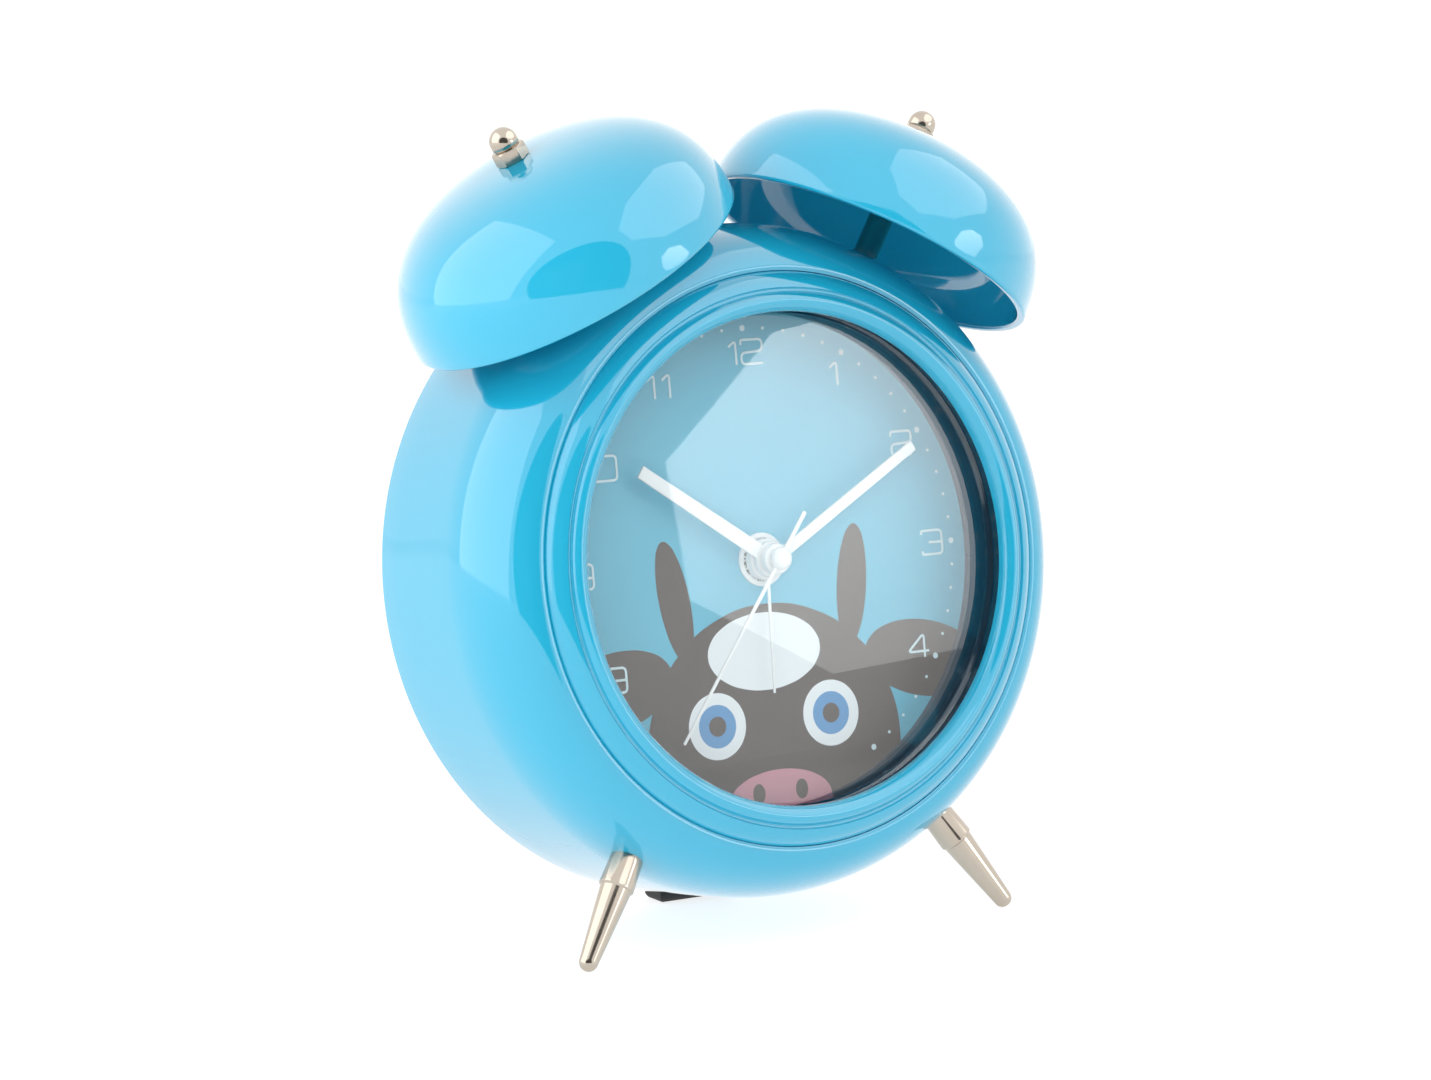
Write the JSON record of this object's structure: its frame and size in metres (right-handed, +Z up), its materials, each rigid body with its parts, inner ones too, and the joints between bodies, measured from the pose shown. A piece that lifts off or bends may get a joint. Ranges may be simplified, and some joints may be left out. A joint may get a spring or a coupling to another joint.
{
  "type": "alarm clock",
  "caption": "Round twin-bell alarm clock with a domed lens over a printed dial, two splayed metal legs, a rear foot and a quartz alarm movement.",
  "frame": {"origin": "middle of the underside of the bounding box, on the surface that the clock stands on", "axes": "+Z up, +X to the right of someone reading the dial, +Y from the reader to the back; the dial leans back 9 degrees"},
  "size_m": [0.1248, 0.0666, 0.1473],
  "materials": {
    "case_plastic": "glossy moulded sky-blue ABS",
    "bell_plastic": "glossy moulded sky-blue ABS",
    "clear_lens": "clear moulded acrylic",
    "dark_ring_plastic": "glossy dark navy",
    "printed_dial": "screen-printed matt card on plate",
    "white_hands": "satin white lacquer",
    "nickel_plate": "bright nickel plate",
    "zinc_steel": "zinc-plated steel",
    "black_rubber": "soft black rubber",
    "black_plastic": "fine-textured black ABS",
    "white_plastic": "natural acetal",
    "brass": "turned brass",
    "copper_wire": "enamelled copper wire",
    "motor_iron": "annealed iron",
    "magnet": "sintered ferrite",
    "circuit_board": "green solder mask",
    "chip_epoxy": "black epoxy",
    "tin_plate": "tin plate",
    "cell_wrap": "shrink-wrapped label",
    "paper_cone": "treated paper",
    "wire_insulation": "PVC insulation"
  },
  "bodies": {
    "clock_body": {"acorn_nuts": "nickel_plate", "battery": "cell_wrap", "battery_contacts": "tin_plate", "battery_leads": "wire_insulation", "battery_spring": "tin_plate", "bell_left": "bell_plastic", "bell_right": "bell_plastic", "bell_spacers": "nickel_plate", "bell_studs": "nickel_plate", "bezel_ring": "case_plastic", "board_chip": "chip_epoxy", "board_screws": "zinc_steel", "carrier_screws": "zinc_steel", "case_shell": "case_plastic", "coil_bobbin": "white_plastic", "coil_winding": "copper_wire", "cover_screws": "zinc_steel", "dial_carrier": "white_plastic", "dial_plate": "printed_dial", "dial_ring": "dark_ring_plastic", "foot_screws": "zinc_steel", "leg_left": "nickel_plate", "leg_right": "nickel_plate", "leg_screws": "zinc_steel", "lens": "clear_lens", "movement_back_case": "black_plastic", "movement_board": "circuit_board", "movement_front_case": "black_plastic", "movement_screws": "zinc_steel", "quartz_crystal": "tin_plate", "rear_cover": "black_plastic", "rear_foot": "black_rubber", "sound_board": "circuit_board", "speaker_cone": "paper_cone", "speaker_frame": "zinc_steel", "speaker_leads": "wire_insulation", "speaker_magnet": "magnet", "stator": "motor_iron", "stud_nuts": "zinc_steel", "stud_washers": "zinc_steel", "switch_body": "zinc_steel", "train_plate": "white_plastic"},
    "minute_arbor": {"minute_wheel": "brass", "minute_hand": "white_hands"},
    "hour_arbor": {"hour_wheel": "white_plastic", "hour_hand": "white_hands"},
    "second_arbor": {"second_wheel": "brass", "second_hand": "white_hands"},
    "third_arbor": {"third_wheel": "white_plastic"},
    "fifth_arbor": {"fifth_wheel": "white_plastic"},
    "rotor_arbor": {"rotor": "magnet"},
    "motion_arbor": {"motion_wheel": "white_plastic"},
    "time_setting": {"time_shaft": "white_plastic", "time_knob": "black_plastic"},
    "alarm_arbor": {"alarm_wheel": "white_plastic", "alarm_hand": "white_hands"},
    "alarm_setting": {"alarm_shaft": "white_plastic", "alarm_knob": "black_plastic"},
    "alarm_switch": {"alarm_switch_slider": "white_plastic"},
    "battery_cover": {"battery_door": "black_plastic"}
  },
  "joints": [
    {"name": "minute_turn", "type": "hinge", "parent": "clock_body", "child": "minute_arbor", "pos_m": [0, -0.00444, 0.06617], "axis": [0, 0.9877, -0.1564], "continuous": true},
    {"name": "hour_turn", "type": "hinge", "parent": "clock_body", "child": "hour_arbor", "pos_m": [0, -0.00444, 0.06617], "axis": [0, 0.9877, -0.1564], "continuous": true},
    {"name": "second_turn", "type": "hinge", "parent": "clock_body", "child": "second_arbor", "pos_m": [0, -0.00444, 0.06617], "axis": [0, 0.9877, -0.1564], "continuous": true},
    {"name": "third_turn", "type": "hinge", "parent": "clock_body", "child": "third_arbor", "pos_m": [0.009, -0.00444, 0.06617], "axis": [0, 0.9877, -0.1564], "continuous": true},
    {"name": "fifth_turn", "type": "hinge", "parent": "clock_body", "child": "fifth_arbor", "pos_m": [-0.00495, -0.00367, 0.07106], "axis": [0, 0.9877, -0.1564], "continuous": true},
    {"name": "rotor_turn", "type": "hinge", "parent": "clock_body", "child": "rotor_arbor", "pos_m": [-0.00834, -0.00314, 0.07441], "axis": [0, 0.9877, -0.1564], "continuous": true},
    {"name": "motion_turn", "type": "hinge", "parent": "clock_body", "child": "motion_arbor", "pos_m": [0, -0.00557, 0.05906], "axis": [0, 0.9877, -0.1564], "continuous": true},
    {"name": "time_knob_turn", "type": "hinge", "parent": "clock_body", "child": "time_setting", "pos_m": [0, -0.0067, 0.05195], "axis": [0, 0.9877, -0.1564], "continuous": true},
    {"name": "alarm_hand_turn", "type": "hinge", "parent": "clock_body", "child": "alarm_arbor", "pos_m": [0, -0.00444, 0.06617], "axis": [0, 0.9877, -0.1564], "continuous": true},
    {"name": "alarm_knob_turn", "type": "hinge", "parent": "clock_body", "child": "alarm_setting", "pos_m": [-0.0095, -0.00444, 0.06617], "axis": [0, 0.9877, -0.1564], "continuous": true},
    {"name": "alarm_switch_slide", "type": "slide", "parent": "clock_body", "child": "alarm_switch", "axis": [0, 0.1564, 0.9877], "range_m": [0, 0.004]},
    {"name": "battery_door_pull", "type": "slide", "parent": "clock_body", "child": "battery_cover", "axis": [0, 0.9877, -0.1564], "range_m": [0, 0.015]}
  ],
  "couplings": [
    {"joint": "hour_turn", "follows": "minute_turn", "ratio": 0.083333},
    {"joint": "second_turn", "follows": "minute_turn", "ratio": 60},
    {"joint": "third_turn", "follows": "minute_turn", "ratio": -8},
    {"joint": "fifth_turn", "follows": "minute_turn", "ratio": -360},
    {"joint": "rotor_turn", "follows": "minute_turn", "ratio": 1800},
    {"joint": "motion_turn", "follows": "minute_turn", "ratio": -0.33333},
    {"joint": "time_knob_turn", "follows": "minute_turn", "ratio": 1},
    {"joint": "alarm_knob_turn", "follows": "alarm_hand_turn", "ratio": -1.7143}
  ]
}
